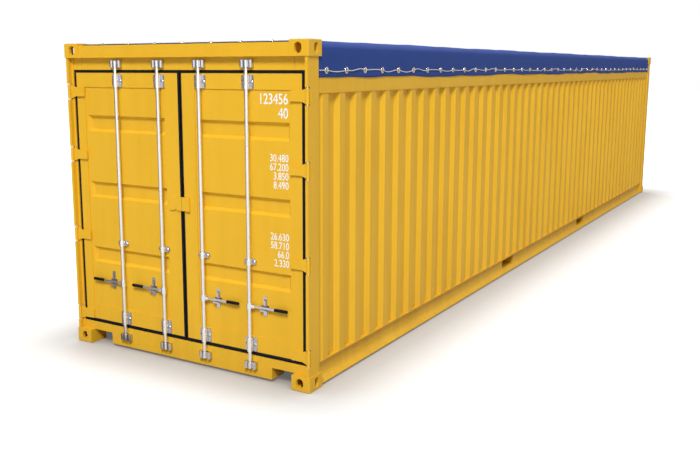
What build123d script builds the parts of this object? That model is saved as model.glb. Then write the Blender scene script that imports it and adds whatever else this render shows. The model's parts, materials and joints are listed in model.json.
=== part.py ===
from build123d import *
from math import cos, radians, sin
import os

# Forty-foot open-top shipping container: steel frame, corrugated walls, laced tarpaulin, double doors.
# X runs from the doors (-X) to the blind front (+X), Y across with the left side at +Y, Z up.
# The origin is the middle of the footprint, level with the undersides of the bottom castings.
# Millimetres throughout. "Depth" is measured in from an end face, "inset" in from a long side.

# Overall box and corner castings
LENGTH, WIDTH, HEIGHT = 12192, 2438, 2591
CAST_X, CAST_Y, CAST_Z = 178, 162, 118
CAST_OUTER_WALL, CAST_INNER_WALL, CAST_ROUND = 26, 8, 6
SLOT_LENGTH, SLOT_RADIUS = 124, 31.75
SLOT_DEPTH, SLOT_INSET = 103.5, 89.5
END_HOLE, SIDE_HOLE = (80, 63), (80, 51)

# Posts: a lip stands proud of the strip that the door closes beside
POST_INSET, POST_FACE, POST_INNER = 10, 6, 55
LIP_INSET, STRIP_DEPTH = 34, 42
POST_BEND, POST_BACK_INSET = 150, 24

# Header and sill of the door end
FRAME_FACE, FRAME_BACK, PLATE = 48, 140, 6
HEADER_BOTTOM, HEADER_TOP = 2375, 2573
HEADER_LIP, HEADER_LIP_FACE, HEADER_FACE = 24, 2, 12
HEADER_HALF, GUSSET_HALF, GUSSET_DEPTH = 1073, 1075, 110
SILL_BOTTOM, SILL_TOP = 22, 190
NOTCH_NEAR, NOTCH_TOP, NOTCH_BACK = 845, 118, 215

# Rails, folded walls and underframe
RAIL_TOP, RAIL_LIP = 195, 20
RAIL_WEB, RAIL_PLATE = 50, 6
FLARE_LEVEL, FLARE_RADIUS, FLARE_ANGLE = 90, 80, 61
TOP_RAIL_BOTTOM, TOP_RAIL_TOP, TOP_RAIL_STEP = 2211, 2573, 2330
TOP_RAIL_INSET, TOP_RAIL_STEP_INSET, TOP_RAIL_INNER = 20, 30, 76
TOP_RAIL_WALL, TOP_RAIL_ROUND = 4, 25
FOLD_PITCH, FOLD_FLAT, FOLD_SLOPE, FOLD_DEPTH = 248, 82, 40, 32
WALL_INSET, SHEET = 24, 2
SIDE_FOLDS, FRONT_FOLDS = 48, 8
FLOOR_TOP, FLOOR_THICK = 190, 24
POCKET_CENTRE, POCKET_WIDTH, POCKET_BOTTOM, POCKET_TOP = 1616, 377, 64, 160
MEMBER_HEIGHT, MEMBER_FLANGE, MEMBER_PITCH, MEMBER_WALL = 122, 45, 300, 5
BOW_COUNT, BOW_WIDTH, BOW_HEIGHT = 20, 60, 35

# Tarpaulin and its rope
TARP_INSET, TARP_THICK, TARP_HEM = 16, 3, 2318
TARP_DOOR_EDGE, TARP_CORNER_GAP, TARP_SEAM = 60, 2, 0.5
ROPE, ROPE_LEVEL, RING_PITCH, RING_COUNT = 9, 2378, 291.5, 41
ROPE_DEPTH, END_RING_PITCH, END_RING_COUNT = 90, 285, 7
ROPE_SAG = (12, 20, 8, 16, 24, 10, 14)
ROPE_TAIL = 70

# Doors
PIN_DEPTH, PIN_INSET, PIN_RADIUS, PIN_PLAY = 18, 20, 7, 0.1
KNUCKLE_RADIUS, HINGE_HEIGHT, HINGE_GAP = 13, 115, 9
HINGE_LEVELS = (2193, 1662, 966, 262)
BLADE_FRONT, BLADE_BACK, BLADE_ROOT, BLADE_REACH = 29, 37, 11, 159
PAD_START, PAD_HEIGHT = 64, 76
LEAF_NEAR, LEAF_FAR, LEAF_BOTTOM, LEAF_TOP = 20, 1136, 222, 2352
LEAF_FACE, LEAF_THICK = 45, 50
PANEL_NEAR, PANEL_FAR, PANEL_BOTTOM, PANEL_TOP = 146, 1046, 349, 2233
PANEL_FACE = 52
PAN_LEVELS, PAN_HEIGHT, PAN_MARGIN, PAN_DEPTH, PAN_SLOPE = (1931, 1369, 802), 136, 22, 26, 40
GASKET_NEAR, GASKET_FAR, GASKET_BOTTOM, GASKET_TOP = 5, 1159, 195, 2370
GASKET_FACE, GASKET_THICK, GASKET_BEVEL = 43, 22, 4

# Locking gear
BAR_OFFSETS = {"inner": 208, "outer": 660}
BAR_DEPTH, BAR_RADIUS, BAR_PLAY = 23, 16, 0.3
BAR_BOTTOM, BAR_TOP, NECK_RADIUS = 150, 2388, 11
CAM_LEVELS, CAM_HEIGHT, CAM_RADIUS = (115, 2422), 50, 17
KEEPER_HALF, KEEPER_HEIGHT, KEEPER_THROAT, KEEPER_FRONT, KEEPER_BASE = 56, 55, 23, 10, 44
SLEEVE_RADIUS, BRACKET_HALF, BRACKET_FACE, BRACKET_ROUND = 22, 55, 39, 14
BRACKETS = ((226, 336, LEAF_FACE), (912, 958, PANEL_FACE), (2237, 2340, LEAF_FACE))
HANDLE_LEVEL, HANDLE_REACH, HANDLE_TALL, HANDLE_DEEP = 590, 345, 18, 9
HUB_RADIUS, HUB_HEIGHT, CHEEK, CHEEK_PLAY = 23, 50, 4, 1
EYE_OFFSET, EYE_RADIUS, EYE_PIN = 42, 13, 5
GRIP_LENGTH, GRIP_RADIUS, GRIP_BEVEL = 110, 12.5, 4
CATCH_OFFSET, CATCH_BOTTOM, CATCH_TOP, CATCH_WIDTH = 132, 520, 676, 34
SHELF_GAP, SHELF_WIDTH, SHELF_THICK, SHELF_LIP = 6, 60, 6, 12
TONGUE_WIDTH, TONGUE_BOTTOM, TONGUE_TOP, TONGUE_RISE, TONGUE_SLOPE = 28, 596, 652, 10, 25
LOCK_PLATE_FACE, LOCK_PLATE_BOTTOM, LOCK_PLATE_TOP = 33, 1268, 1379
LOCK_PLATE_SEAM, LOCK_SEAT = 2.5, 24
LOCK_PLATE_FAR = {"left": 124, "right": 80}
LOCK_BLOCK_NEAR, LOCK_BLOCK_FACE = 40, 26
LOCK_NOTCH_PLACE, LOCK_NOTCH = 62, 15

DOOR_END, FRONT_END = -LENGTH / 2, LENGTH / 2
SIDES = {"left": 1, "right": -1}
os.makedirs("parts", exist_ok=True)


def from_side(side, inset):
    """Y of a point set in from the left (+1) or right (-1) long side."""
    return side * (WIDTH / 2 - inset)


def save(builder, name):
    """Label a finished piece and write it out."""
    builder.part.label = name
    export_step(builder.part, f"parts/{name}.step")


# Corner castings


def corner_casting(middle, outer):
    """Hollow block at the right corner of the door end, with a slot and two upright oval holes."""
    centre = (DOOR_END + CAST_X / 2, CAST_Y / 2 - WIDTH / 2, middle)
    shift = (CAST_OUTER_WALL - CAST_INNER_WALL) / 2
    up = 1 if outer > middle else -1
    walls = CAST_OUTER_WALL + CAST_INNER_WALL
    with BuildPart() as casting:
        with Locations(centre):
            Box(CAST_X, CAST_Y, CAST_Z)
        fillet(casting.edges().sort_by_distance((DOOR_END, -WIDTH / 2, outer))[:3], CAST_ROUND)
        with Locations((centre[0] + shift, centre[1] + shift, middle - up * shift)):
            Box(CAST_X - walls, CAST_Y - walls, CAST_Z - walls, mode=Mode.SUBTRACT)
        with BuildSketch(Plane.XY.offset(middle)):
            with Locations((DOOR_END + SLOT_DEPTH, SLOT_INSET - WIDTH / 2)):
                SlotOverall(SLOT_LENGTH, 2 * SLOT_RADIUS)
        extrude(amount=up * CAST_Z, mode=Mode.SUBTRACT)
        with BuildSketch(Plane.YZ.offset(centre[0])):
            with Locations((SLOT_INSET - WIDTH / 2, middle)):
                SlotOverall(*END_HOLE, rotation=90)
        extrude(amount=-CAST_X, mode=Mode.SUBTRACT)
        with BuildSketch(Plane.XZ.offset(-centre[1])):
            with Locations((DOOR_END + SLOT_DEPTH, middle)):
                SlotOverall(*SIDE_HOLE, rotation=90)
        extrude(amount=CAST_Y, mode=Mode.SUBTRACT)
    return casting.part


for name, outer in (("top_corner_castings", HEIGHT), ("bottom_corner_castings", 0)):
    with BuildPart() as castings:
        add(corner_casting(abs(outer - CAST_Z / 2), outer))
        mirror(about=Plane.YZ)
        mirror(about=Plane.XZ)
    save(castings, name)

# Posts

with BuildPart() as door_posts:
    with BuildSketch(Plane.XY.offset(CAST_Z)):
        for side in SIDES.values():
            Polygon(
                *[
                    (DOOR_END + depth, from_side(side, inset))
                    for depth, inset in (
                        (POST_FACE, POST_INSET),
                        (POST_BEND, POST_INSET),
                        (POST_BEND + PLATE, POST_BACK_INSET),
                        (CAST_X, POST_BACK_INSET),
                        (CAST_X, POST_INNER),
                        (STRIP_DEPTH, POST_INNER),
                        (STRIP_DEPTH, LIP_INSET),
                        (POST_FACE, LIP_INSET),
                    )
                ],
                align=None,
            )
    extrude(amount=HEIGHT - 2 * CAST_Z)
    for side in SIDES.values():
        for level in HINGE_LEVELS:
            with Locations((DOOR_END, from_side(side, 0), level)):
                Box(2 * STRIP_DEPTH, 2 * LIP_INSET, HINGE_HEIGHT + 2 * HINGE_GAP, mode=Mode.SUBTRACT)
save(door_posts, "door_posts")

with BuildPart() as front_posts:
    with BuildSketch(Plane.XY.offset(CAST_Z)):
        for side in SIDES.values():
            Polygon(
                *[
                    (FRONT_END - depth, from_side(side, inset))
                    for depth, inset in (
                        (POST_INSET, POST_INSET),
                        (POST_BEND, POST_INSET),
                        (POST_BEND + PLATE, POST_BACK_INSET),
                        (CAST_X, POST_BACK_INSET),
                        (CAST_X, POST_INNER),
                        (POST_INNER, POST_INNER),
                        (POST_INNER, CAST_Y),
                        (POST_BACK_INSET, CAST_Y),
                        (POST_BACK_INSET, CAST_Y - CAST_X + POST_BEND + PLATE),
                        (POST_INSET, CAST_Y - CAST_X + POST_BEND),
                    )
                ],
                align=None,
            )
    extrude(amount=HEIGHT - 2 * CAST_Z)
save(front_posts, "front_posts")

with BuildPart() as hinge_pins:
    for side in SIDES.values():
        for level in HINGE_LEVELS:
            with Locations((DOOR_END + PIN_DEPTH, from_side(side, PIN_INSET), level)):
                Cylinder(PIN_RADIUS, HINGE_HEIGHT + 2 * HINGE_GAP)
save(hinge_pins, "hinge_pins")

# Header and sill of the door end

with BuildPart() as door_header:
    with BuildSketch(Plane.XZ):
        Polygon(
            *[
                (DOOR_END + depth, level)
                for depth, level in (
                    (HEADER_LIP_FACE, HEIGHT - CAST_Z),
                    (HEADER_LIP_FACE, HEIGHT - CAST_Z + HEADER_LIP),
                    (HEADER_FACE, HEIGHT - CAST_Z + HEADER_LIP),
                    (HEADER_FACE, HEADER_TOP),
                    (FRAME_BACK, HEADER_TOP),
                    (FRAME_BACK, HEIGHT - CAST_Z),
                )
            ],
            align=None,
        )
    extrude(amount=WIDTH / 2 - CAST_Y, both=True)
save(door_header, "door_header")

with BuildPart() as header_plate:
    with BuildSketch(Plane.XZ):
        Polygon(
            *[
                (DOOR_END + depth, level)
                for depth, level in (
                    (FRAME_FACE, HEIGHT - CAST_Z),
                    (FRAME_FACE, HEADER_BOTTOM),
                    (GUSSET_DEPTH, HEADER_BOTTOM),
                    (GUSSET_DEPTH, HEADER_BOTTOM + PLATE),
                    (FRAME_FACE + PLATE, HEADER_BOTTOM + PLATE),
                    (FRAME_FACE + PLATE, HEIGHT - CAST_Z),
                )
            ],
            align=None,
        )
    extrude(amount=HEADER_HALF, both=True)
save(header_plate, "header_plate")

with BuildPart() as header_gussets:
    gusset_width = WIDTH / 2 - POST_INNER - GUSSET_HALF
    gusset_middle = GUSSET_HALF + gusset_width / 2
    with Locations((DOOR_END + FRAME_FACE, 0, HEADER_BOTTOM)):
        with GridLocations(1, 2 * gusset_middle, 1, 2):
            Box(
                GUSSET_DEPTH - FRAME_FACE,
                gusset_width,
                HEIGHT - CAST_Z - HEADER_BOTTOM,
                align=(Align.MIN, Align.CENTER, Align.MIN),
            )
save(header_gussets, "header_gussets")

with BuildPart() as door_sill:
    with BuildSketch(Plane.XZ):
        Polygon(
            *[
                (DOOR_END + depth, level)
                for depth, level in (
                    (FRAME_FACE, SILL_BOTTOM),
                    (FRAME_BACK, SILL_BOTTOM),
                    (FRAME_BACK, SILL_BOTTOM + PLATE),
                    (FRAME_FACE + PLATE, SILL_BOTTOM + PLATE),
                    (FRAME_FACE + PLATE, SILL_TOP - PLATE),
                    (FRAME_BACK, SILL_TOP - PLATE),
                    (FRAME_BACK, SILL_TOP),
                    (FRAME_FACE, SILL_TOP),
                )
            ],
            align=None,
        )
    extrude(amount=WIDTH / 2 - POST_INNER, both=True)
    for side in SIDES.values():
        near = (DOOR_END + FRAME_BACK / 2, side * NOTCH_NEAR, 0)
        outward = Align.MIN if side > 0 else Align.MAX
        with Locations(near):
            Box(FRAME_BACK, LENGTH, NOTCH_TOP, align=(Align.CENTER, outward, Align.MIN), mode=Mode.SUBTRACT)
        with Locations((DOOR_END + FRAME_FACE, side * NOTCH_NEAR, SILL_BOTTOM)):
            Box(
                NOTCH_BACK - FRAME_FACE,
                PLATE,
                FLOOR_TOP - FLOOR_THICK - SILL_BOTTOM,
                align=(Align.MIN, Align.MAX if side > 0 else Align.MIN, Align.MIN),
            )
        with Locations((DOOR_END + FRAME_FACE, side * NOTCH_NEAR, NOTCH_TOP)):
            Box(
                FRAME_BACK - FRAME_FACE,
                WIDTH / 2 - POST_INNER - NOTCH_NEAR,
                PLATE,
                align=(Align.MIN, outward, Align.MIN),
            )
save(door_sill, "door_sill")

# Rails


def flared_channel(place):
    """Section of a bottom rail: a top flange and a web whose lower edge flares outwards on a wide arc.

    `place` turns an inset and a level into a point of the sketch.
    """
    back = RAIL_WEB + RAIL_PLATE
    centre = RAIL_WEB - FLARE_RADIUS

    def bend(radius, angle):
        return place(centre + radius * cos(radians(angle)), FLARE_LEVEL - radius * sin(radians(angle)))

    outer, inner = FLARE_RADIUS, FLARE_RADIUS + RAIL_PLATE
    with BuildLine() as section:
        Polyline(
            bend(inner, 0),
            place(back, RAIL_TOP),
            place(RAIL_LIP, RAIL_TOP),
            place(RAIL_LIP, RAIL_TOP - RAIL_PLATE),
            place(RAIL_WEB, RAIL_TOP - RAIL_PLATE),
            bend(outer, 0),
        )
        ThreePointArc(bend(outer, 0), bend(outer, FLARE_ANGLE / 2), bend(outer, FLARE_ANGLE))
        Line(bend(outer, FLARE_ANGLE), bend(inner, FLARE_ANGLE))
        ThreePointArc(bend(inner, FLARE_ANGLE), bend(inner, FLARE_ANGLE / 2), bend(inner, 0))
    make_face(section.edges())


def stepped_tube(place):
    """Hollow section of a top rail: set back where the tarpaulin hangs, and rounded where it folds over.

    `place` turns an inset and a level into a point of the sketch.
    """
    outline = (
        (TOP_RAIL_INSET, TOP_RAIL_BOTTOM),
        (TOP_RAIL_INSET, TOP_RAIL_STEP - TOP_RAIL_WALL),
        (TOP_RAIL_STEP_INSET, TOP_RAIL_STEP),
        (TOP_RAIL_STEP_INSET, TOP_RAIL_TOP),
        (TOP_RAIL_INNER, TOP_RAIL_TOP),
        (TOP_RAIL_INNER, TOP_RAIL_BOTTOM),
    )
    with BuildSketch() as section:
        Polygon(*[place(inset, level) for inset, level in outline], align=None)
        fillet(section.vertices().sort_by(SortBy.DISTANCE)[-1], TOP_RAIL_ROUND)
        offset(amount=-TOP_RAIL_WALL, kind=Kind.INTERSECTION, mode=Mode.SUBTRACT)
    return section.sketch_local


with BuildPart() as bottom_side_rails:
    with BuildSketch(Plane.YZ):
        for side in SIDES.values():
            flared_channel(lambda inset, level: (from_side(side, inset), level))
    extrude(amount=LENGTH / 2 - CAST_X, both=True)
    with Locations((POCKET_CENTRE, 0, POCKET_BOTTOM), (-POCKET_CENTRE, 0, POCKET_BOTTOM)):
        Box(
            POCKET_WIDTH,
            WIDTH,
            POCKET_TOP - POCKET_BOTTOM,
            align=(Align.CENTER, Align.CENTER, Align.MIN),
            mode=Mode.SUBTRACT,
        )
save(bottom_side_rails, "bottom_side_rails")

with BuildPart() as front_sill:
    with BuildSketch(Plane.XZ):
        flared_channel(lambda inset, level: (FRONT_END - inset, level))
    extrude(amount=WIDTH / 2 - CAST_Y, both=True)
save(front_sill, "front_sill")

with BuildPart() as top_side_rails:
    with BuildSketch(Plane.YZ):
        for side in SIDES.values():
            add(stepped_tube(lambda inset, level: (from_side(side, inset), level)))
    extrude(amount=LENGTH / 2 - CAST_X, both=True)
save(top_side_rails, "top_side_rails")

with BuildPart() as front_top_rail:
    with BuildSketch(Plane.XZ):
        add(stepped_tube(lambda inset, level: (FRONT_END - inset, level)))
    extrude(amount=WIDTH / 2 - CAST_Y, both=True)
save(front_top_rail, "front_top_rail")

# Folded walls


def folded_outline(length, folds):
    """Outline of a folded sheet: flats at 0, slopes, flats at the fold depth, and back one sheet behind."""
    margin = (length - (folds - 1) * FOLD_PITCH) / 2
    trace = [(0, FOLD_DEPTH)]
    for index in range(folds):
        middle = margin + index * FOLD_PITCH
        trace.append((middle - FOLD_FLAT / 2 - FOLD_SLOPE, FOLD_DEPTH))
        trace.append((middle - FOLD_FLAT / 2, 0))
        trace.append((middle + FOLD_FLAT / 2, 0))
        trace.append((middle + FOLD_FLAT / 2 + FOLD_SLOPE, FOLD_DEPTH))
    trace.append((length, FOLD_DEPTH))
    return trace + [(along, inward + SHEET) for along, inward in reversed(trace)]


for word, side in SIDES.items():
    with BuildPart() as wall:
        with BuildSketch(Plane.XY.offset(RAIL_TOP)):
            Polygon(
                *[
                    (DOOR_END + CAST_X + along, from_side(side, WALL_INSET + inward))
                    for along, inward in folded_outline(LENGTH - 2 * CAST_X, SIDE_FOLDS)
                ],
                align=None,
            )
        extrude(amount=TOP_RAIL_BOTTOM - RAIL_TOP)
    save(wall, f"{word}_wall")

with BuildPart() as front_wall:
    with BuildSketch(Plane.XY.offset(RAIL_TOP)):
        Polygon(
            *[
                (FRONT_END - WALL_INSET - inward, along - WIDTH / 2 + CAST_Y)
                for along, inward in folded_outline(WIDTH - 2 * CAST_Y, FRONT_FOLDS)
            ],
            align=None,
        )
    extrude(amount=TOP_RAIL_BOTTOM - RAIL_TOP)
save(front_wall, "front_wall")

# Floor and underframe

HALF_INSIDE = WIDTH / 2 - RAIL_WEB - RAIL_PLATE
FLOOR_START, FLOOR_END = DOOR_END + FRAME_BACK, FRONT_END - WALL_INSET - FOLD_DEPTH - SHEET

with BuildPart() as floor:
    with Locations(((FLOOR_START + FLOOR_END) / 2, 0, FLOOR_TOP - FLOOR_THICK / 2)):
        Box(FLOOR_END - FLOOR_START, 2 * HALF_INSIDE, FLOOR_THICK)
save(floor, "floor")


def member_places():
    """X of every cross member: an even row with the two fork pockets left free."""
    count = int((LENGTH - 2 * CAST_X) / MEMBER_PITCH)
    row = [(index - count / 2) * MEMBER_PITCH for index in range(count + 1)]
    clear = (POCKET_WIDTH + MEMBER_FLANGE) / 2 + MEMBER_FLANGE
    return [place for place in row if abs(abs(place) - POCKET_CENTRE) > clear]


with BuildPart() as cross_members:
    with BuildSketch(Plane.XZ):
        underside = FLOOR_TOP - FLOOR_THICK
        with Locations(*[(place, underside - MEMBER_HEIGHT / 2) for place in member_places()]):
            Rectangle(MEMBER_FLANGE, MEMBER_HEIGHT)
            with Locations((MEMBER_WALL, 0)):
                Rectangle(MEMBER_FLANGE, MEMBER_HEIGHT - 2 * MEMBER_WALL, mode=Mode.SUBTRACT)
    extrude(amount=HALF_INSIDE, both=True)
save(cross_members, "cross_members")

with BuildPart() as fork_pockets:
    with BuildSketch(Plane.XZ):
        middle = (POCKET_BOTTOM + POCKET_TOP) / 2
        tall = POCKET_TOP - POCKET_BOTTOM
        with Locations((POCKET_CENTRE, middle), (-POCKET_CENTRE, middle)):
            Rectangle(POCKET_WIDTH + 2 * PLATE, tall + 2 * PLATE)
            Rectangle(POCKET_WIDTH, tall, mode=Mode.SUBTRACT)
    extrude(amount=HALF_INSIDE, both=True)
save(fork_pockets, "fork_pockets")

# Roof bows, tarpaulin and rope

with BuildPart() as roof_bows:
    span = 2 * (WIDTH / 2 - TOP_RAIL_INNER)
    pitch = (LENGTH - 2 * CAST_X) / (BOW_COUNT + 1)
    with Locations((0, 0, TOP_RAIL_TOP - BOW_HEIGHT / 2)):
        with GridLocations(pitch, 1, BOW_COUNT, 1):
            Box(BOW_WIDTH, span, BOW_HEIGHT)
save(roof_bows, "roof_bows")

TARP_TOP = TOP_RAIL_TOP + TARP_THICK
FLAP_HEIGHT = TOP_RAIL_TOP - TARP_SEAM - TARP_HEM
TARP_END = LENGTH / 2 - CAST_X - TARP_CORNER_GAP
TARP_LOW_END = LENGTH / 2 - POST_BEND - PLATE - TARP_CORNER_GAP
TARP_HALF = WIDTH / 2 - CAST_Y - TARP_CORNER_GAP
UNDER_CASTING = HEIGHT - CAST_Z - TARP_CORNER_GAP

with BuildPart() as tarpaulin:
    with BuildSketch(Plane.XY.offset(TOP_RAIL_TOP)):
        Rectangle(2 * TARP_END, WIDTH - 2 * TARP_INSET)
        with Locations((DOOR_END + TARP_DOOR_EDGE, 0)):
            door_strip = LENGTH / 2 - TARP_DOOR_EDGE - TARP_END - TARP_SEAM
            Rectangle(door_strip, 2 * TARP_HALF, align=(Align.MIN, Align.CENTER))
        with Locations((FRONT_END - TARP_INSET, 0)):
            front_strip = LENGTH / 2 - TARP_INSET - TARP_END - TARP_SEAM
            Rectangle(front_strip, 2 * TARP_HALF, align=(Align.MAX, Align.CENTER))
    extrude(amount=TARP_THICK)
    for side in SIDES.values():
        outward = Align.MAX if side > 0 else Align.MIN
        with Locations((0, from_side(side, TARP_INSET), TARP_HEM)):
            Box(2 * TARP_END, TARP_THICK, FLAP_HEIGHT, align=(Align.CENTER, outward, Align.MIN))
            Box(
                2 * TARP_LOW_END,
                TARP_THICK,
                UNDER_CASTING - TARP_HEM,
                align=(Align.CENTER, outward, Align.MIN),
            )
    with Locations((FRONT_END - TARP_INSET, 0, TARP_HEM)):
        Box(TARP_THICK, 2 * TARP_HALF, FLAP_HEIGHT, align=(Align.MAX, Align.CENTER, Align.MIN))
save(tarpaulin, "tarpaulin")


def laced_outline(pitch, count):
    """Outline of a rope that is held at `count` even rings and sags a little, unevenly, between them."""
    first = -(count - 1) * pitch / 2
    trace = [(first - ROPE_TAIL, 0)]
    for index in range(count):
        trace.append((first + index * pitch, 0))
        if index < count - 1:
            trace.append((first + (index + 0.5) * pitch, -ROPE_SAG[index % len(ROPE_SAG)]))
    trace.append((-first + ROPE_TAIL, 0))
    return trace + [(along, drop - ROPE) for along, drop in reversed(trace)]


with BuildPart() as tarp_rope:
    for side in SIDES.values():
        rope_plane = Plane.XZ.offset(-from_side(side, TARP_INSET))
        with BuildSketch(rope_plane):
            Polygon(
                *[(along, ROPE_LEVEL + drop) for along, drop in laced_outline(RING_PITCH, RING_COUNT)],
                align=None,
            )
        extrude(amount=-side * ROPE)
    with BuildSketch(Plane.YZ.offset(FRONT_END - TARP_INSET)):
        Polygon(
            *[(along, ROPE_LEVEL + drop) for along, drop in laced_outline(END_RING_PITCH, END_RING_COUNT)],
            align=None,
        )
    extrude(amount=ROPE)
    with BuildSketch(Plane.XY.offset(TARP_TOP)):
        Polygon(
            *[
                (DOOR_END + ROPE_DEPTH - drop, along)
                for along, drop in laced_outline(END_RING_PITCH, END_RING_COUNT)
            ],
            align=None,
        )
    extrude(amount=ROPE)
save(tarp_rope, "tarp_rope")

# Doors: each leaf is a frame, a pressed panel, a gasket and four hinge blades


def door_face(side, bottom, top, near, far, depth):
    """Corners of an upright rectangle on a door, as the centre and size of its sketch on a YZ plane."""
    centre = (side * (near + far) / 2, (bottom + top) / 2)
    return Plane.YZ.offset(DOOR_END + depth), centre, (far - near, top - bottom)


def door_frame(side):
    """Leaf frame: a flat ring of box section."""
    plane, middle, size = door_face(side, LEAF_BOTTOM, LEAF_TOP, LEAF_NEAR, LEAF_FAR, LEAF_FACE)
    _, window, opening = door_face(side, PANEL_BOTTOM, PANEL_TOP, PANEL_NEAR, PANEL_FAR, LEAF_FACE)
    with BuildPart() as frame:
        with BuildSketch(plane):
            with Locations(middle):
                Rectangle(*size)
            with Locations(window):
                Rectangle(*opening, mode=Mode.SUBTRACT)
        extrude(amount=LEAF_THICK)
    return frame


def door_panel(side):
    """Sheet that fills the frame, with three long pans pressed in behind its face."""
    plane, window, opening = door_face(side, PANEL_BOTTOM, PANEL_TOP, PANEL_NEAR, PANEL_FAR, PANEL_FACE)
    pan_width = opening[0] - 2 * PAN_MARGIN
    pans = [(window[0], level) for level in PAN_LEVELS]
    with BuildPart() as panel:
        with BuildSketch(plane):
            with Locations(window):
                Rectangle(*opening)
        extrude(amount=SHEET)
        with BuildSketch(plane):
            with Locations(*pans):
                Rectangle(pan_width + 2 * SHEET, PAN_HEIGHT + 2 * SHEET)
        extrude(amount=PAN_DEPTH + SHEET, taper=PAN_SLOPE)
        with BuildSketch(plane):
            with Locations(*pans):
                Rectangle(pan_width, PAN_HEIGHT)
        extrude(amount=PAN_DEPTH, taper=PAN_SLOPE, mode=Mode.SUBTRACT)
    return panel


def door_gasket(side):
    """Rubber seal round the leaf's edge, bevelled along its outer front edge."""
    plane, middle, size = door_face(
        side, GASKET_BOTTOM, GASKET_TOP, GASKET_NEAR, GASKET_FAR, GASKET_FACE
    )
    _, leaf, hole = door_face(side, LEAF_BOTTOM, LEAF_TOP, LEAF_NEAR, LEAF_FAR, GASKET_FACE)
    with BuildPart() as gasket:
        with BuildSketch(plane):
            with Locations(middle):
                Rectangle(*size)
        extrude(amount=GASKET_THICK)
        chamfer(gasket.faces().sort_by(Axis.X)[0].edges(), GASKET_BEVEL)
        with BuildSketch(plane):
            with Locations(leaf):
                Rectangle(*hole)
        extrude(amount=GASKET_THICK, mode=Mode.SUBTRACT)
    return gasket


def hinge_blades(side):
    """Four hinges: a bored knuckle, and a blade that narrows over the gasket to a pad on the leaf."""
    pin_y = WIDTH / 2 - PIN_INSET
    plan = (
        (PIN_DEPTH, 0),
        (BLADE_FRONT, BLADE_ROOT),
        (BLADE_FRONT, BLADE_REACH),
        (LEAF_FACE, BLADE_REACH),
        (LEAF_FACE, PAD_START),
        (BLADE_BACK, PAD_START),
        (BLADE_BACK, KNUCKLE_RADIUS / 2),
        (PIN_DEPTH + KNUCKLE_RADIUS, 0),
    )
    half_outline = (
        (-KNUCKLE_RADIUS, HINGE_HEIGHT / 2),
        (KNUCKLE_RADIUS, HINGE_HEIGHT / 2),
        (PAD_START, PAD_HEIGHT / 2),
        (BLADE_REACH, PAD_HEIGHT / 2),
    )
    outline = half_outline + tuple((reach, -rise) for reach, rise in reversed(half_outline))
    with BuildPart() as blades:
        for level in HINGE_LEVELS:
            with BuildSketch(Plane.XY.offset(level - HINGE_HEIGHT / 2)):
                with Locations((DOOR_END + PIN_DEPTH, side * pin_y)):
                    Circle(KNUCKLE_RADIUS)
                Polygon(*[(DOOR_END + depth, side * (pin_y - reach)) for depth, reach in plan], align=None)
                with Locations((DOOR_END + PIN_DEPTH, side * pin_y)):
                    Circle(PIN_RADIUS + PIN_PLAY, mode=Mode.SUBTRACT)
            extrude(amount=HINGE_HEIGHT)
        with BuildSketch(Plane.YZ.offset(DOOR_END)):
            for level in HINGE_LEVELS:
                Polygon(*[(side * (pin_y - reach), level + rise) for reach, rise in outline], align=None)
        extrude(amount=FRAME_BACK, mode=Mode.INTERSECT)
    return blades


# Locking gear: upright bars that turn in brackets, with cams in keepers and drop handles


def bar_brackets(side):
    """Sleeves on round-cornered plates for each bar: two on the leaf, and a rounder guide on the panel."""
    with BuildPart() as brackets:
        for offset in BAR_OFFSETS.values():
            axis = (DOOR_END + BAR_DEPTH, side * offset)
            for bottom, top, seat in BRACKETS:
                height = top - bottom
                rounding = BRACKET_ROUND if seat == LEAF_FACE else BRACKET_ROUND + PLATE
                with BuildSketch(Plane.YZ.offset(DOOR_END + seat)):
                    with Locations((side * offset, bottom + height / 2)):
                        RectangleRounded(2 * BRACKET_HALF, height, rounding)
                extrude(amount=BRACKET_FACE - seat)
                with BuildSketch(Plane.XY.offset(bottom)):
                    with Locations((DOOR_END + seat, side * offset)):
                        Rectangle(seat - BAR_DEPTH, 2 * SLEEVE_RADIUS, align=(Align.MAX, Align.CENTER))
                    with Locations(axis):
                        Circle(SLEEVE_RADIUS)
                extrude(amount=height)
            with BuildSketch(Plane.XY.offset(BAR_BOTTOM)):
                with Locations(axis):
                    Circle(BAR_RADIUS + BAR_PLAY)
            extrude(amount=BAR_TOP - BAR_BOTTOM, mode=Mode.SUBTRACT)
    return brackets


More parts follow.
